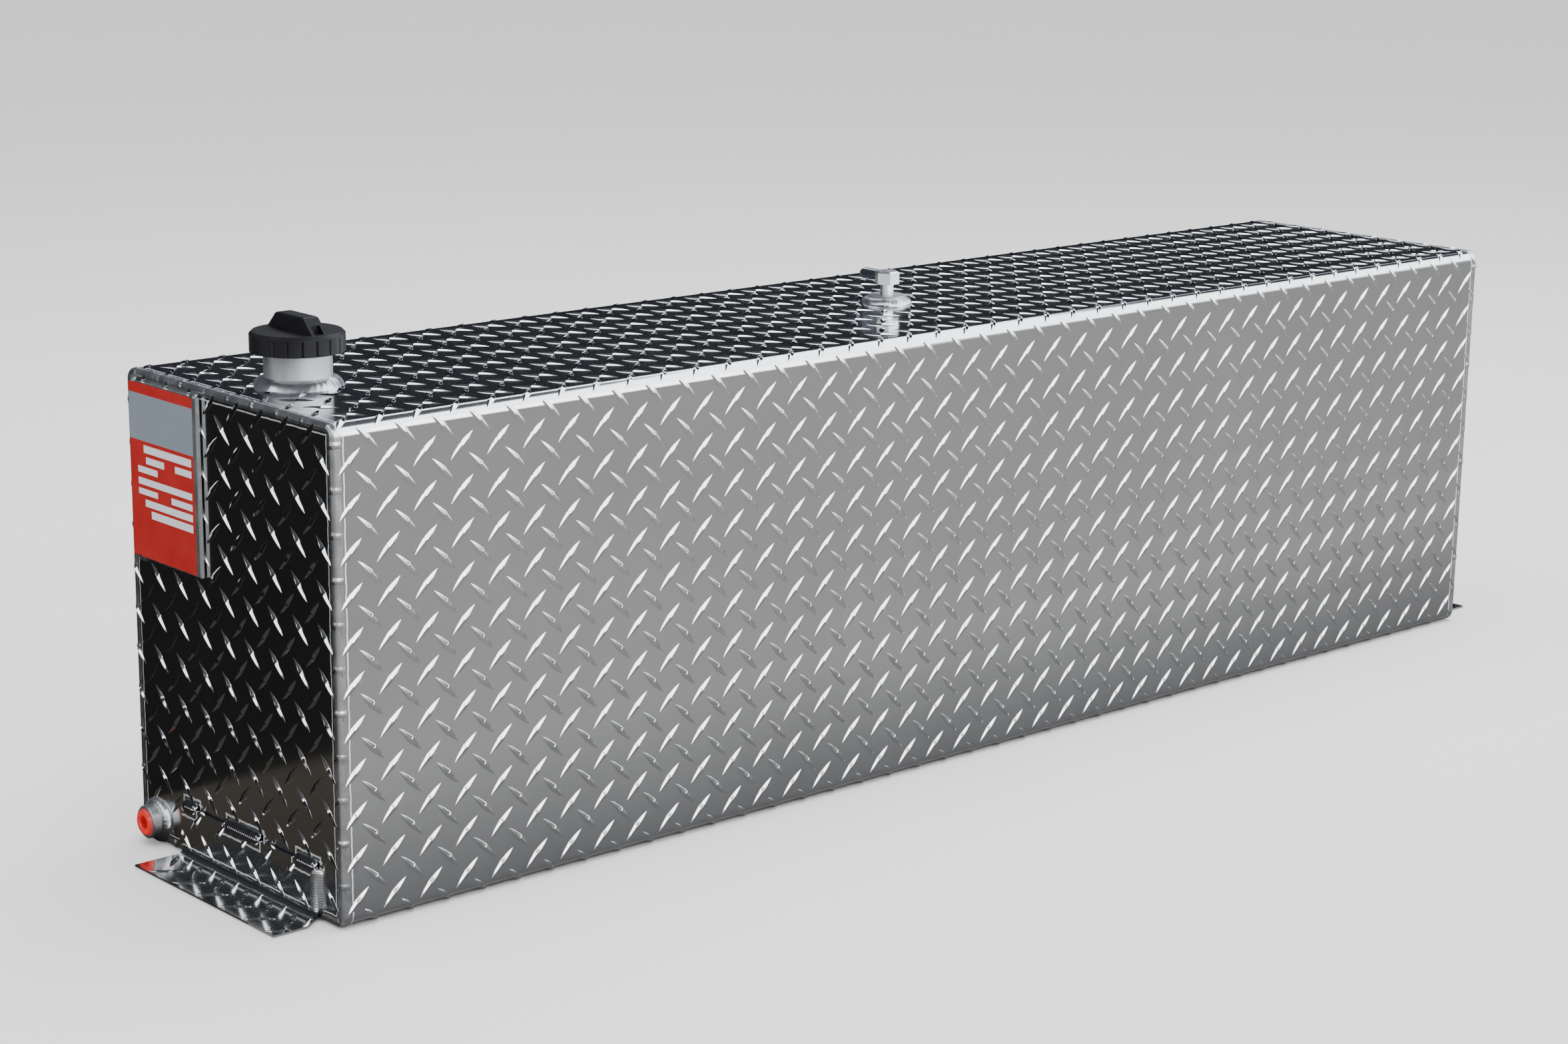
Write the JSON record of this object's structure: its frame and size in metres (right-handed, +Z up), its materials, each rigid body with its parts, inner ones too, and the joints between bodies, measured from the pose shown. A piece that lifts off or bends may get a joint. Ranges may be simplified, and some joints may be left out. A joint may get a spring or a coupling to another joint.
{
  "type": "truck bed transfer tank",
  "caption": "Long box fuel transfer tank of welded tread plate with a screw-capped fill neck, a relief vent, a plugged end outlet and folded mounting feet",
  "frame": {"origin": "on the ground under the middle of the tank", "axes": "+X along the tank, away from the nameplate end; -Y out of the front face; +Z up"},
  "size_m": [1.684, 0.3326, 0.5047],
  "materials": {
    "tread_plate": "bright",
    "weld_metal": "rippled",
    "mill_sheet": "mill",
    "turned_aluminium": "turned",
    "black_plastic": "satin",
    "seal_rubber": "matt",
    "plated_steel": "satin",
    "bonnet_metal": "gloss",
    "red_plastic": "gloss",
    "label_print": "gloss"
  },
  "bodies": {
    "tank": {"tank_wrap": "tread_plate", "seam_weld": "weld_metal", "left_end_plate": "tread_plate", "right_end_plate": "tread_plate", "left_end_weld": "weld_metal", "right_end_weld": "weld_metal", "baffle_left": "mill_sheet", "baffle_right": "mill_sheet", "baffle_welds": "weld_metal", "fill_neck": "turned_aluminium", "fill_neck_weld": "weld_metal", "vent_bung": "turned_aluminium", "vent_bung_weld": "weld_metal", "vent_body": "plated_steel", "vent_bonnet": "bonnet_metal", "vent_spring": "plated_steel", "outlet_bung": "turned_aluminium", "outlet_weld": "weld_metal", "left_foot_bracket": "tread_plate", "right_foot_bracket": "tread_plate", "left_foot_weld": "weld_metal", "right_foot_weld": "weld_metal", "nameplate": "mill_sheet", "nameplate_label": "label_print", "nameplate_tacks": "weld_metal", "front_tread": "tread_plate", "top_tread": "tread_plate", "left_end_tread": "tread_plate", "right_end_tread": "tread_plate"},
    "cap_seal": {"cap_gasket": "seal_rubber"},
    "cap_core": {"cap_liner": "black_plastic", "cap_rivet": "plated_steel"},
    "cap": {"cap_shell": "black_plastic"},
    "plug": {"outlet_plug": "red_plastic"},
    "poppet": {"vent_poppet": "plated_steel"}
  },
  "joints": [
    {"name": "cap_lift", "type": "slide", "parent": "tank", "child": "cap_seal", "axis": [0, 0, 1], "range_m": [0, 0.12]},
    {"name": "cap_rise", "type": "slide", "parent": "cap_seal", "child": "cap_core", "axis": [0, 0, 1], "range_m": [0, 0.0102]},
    {"name": "cap_turn", "type": "hinge", "parent": "cap_core", "child": "cap", "pos_m": [-0.7125, 0, 0.4833], "axis": [0, 0, 1], "range_deg": [0, 540]},
    {"name": "plug_pull", "type": "slide", "parent": "tank", "child": "plug", "axis": [-1, 0, 0], "range_m": [0, 0.05]},
    {"name": "poppet_lift", "type": "slide", "parent": "tank", "child": "poppet", "axis": [0, 1, 0], "range_m": [0, 0.003], "stiffness_N_per_m": 300, "springref_m": -0.002, "deforming": ["vent_spring"]}
  ],
  "couplings": [
    {"joint": "cap_rise", "follows": "cap_turn", "m_per_rad": 0.0010106}
  ]
}
